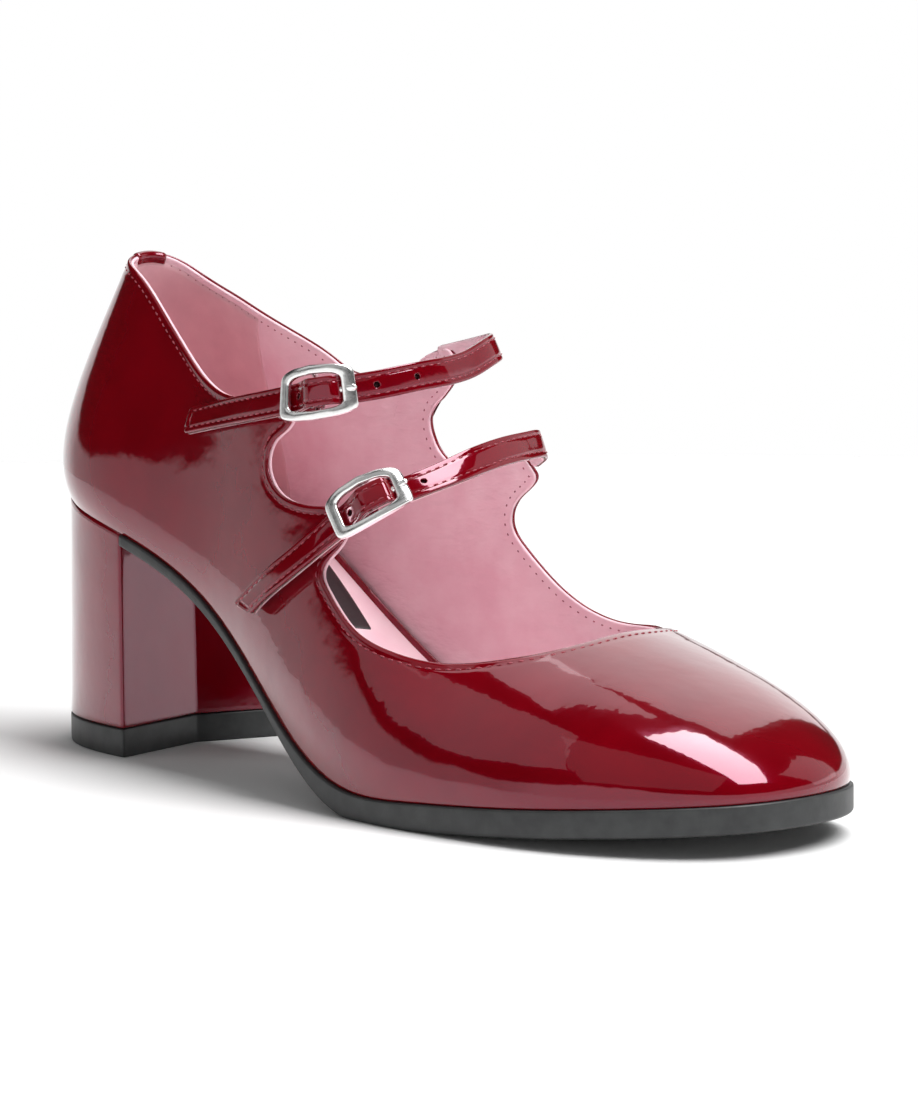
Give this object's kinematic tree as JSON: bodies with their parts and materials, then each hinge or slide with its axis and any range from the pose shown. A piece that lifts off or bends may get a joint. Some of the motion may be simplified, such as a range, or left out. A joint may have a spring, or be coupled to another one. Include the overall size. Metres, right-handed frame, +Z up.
{
  "type": "mary jane shoe",
  "caption": "Round-toe patent mary jane with buckled instep straps on a block heel, open collar and throat, pink lining, thin black sole.",
  "frame": {"origin": "on the floor under the centre of the box round the shoe", "axes": "+X from the heel to the toe, +Y to the medial side of this right shoe, +Z up"},
  "size_m": [0.2338, 0.0784, 0.1151],
  "materials": {
    "patent": "burgundy patent leather, glossy",
    "lining": "pale pink lining leather, satin",
    "sole_rubber": "matte black",
    "buckle_metal": "polished"
  },
  "bodies": {
    "root": {"upper": "patent", "insole": "patent", "sock": "lining", "outsole": "sole_rubber", "heel": "patent", "top_lift": "sole_rubber", "strap_rear": "patent", "strap_front": "patent", "buckle_rear": "buckle_metal", "buckle_front": "buckle_metal", "prong_rear": "buckle_metal", "prong_front": "buckle_metal", "tab_rear": "patent", "tab_front": "patent"}
  },
  "joints": []
}
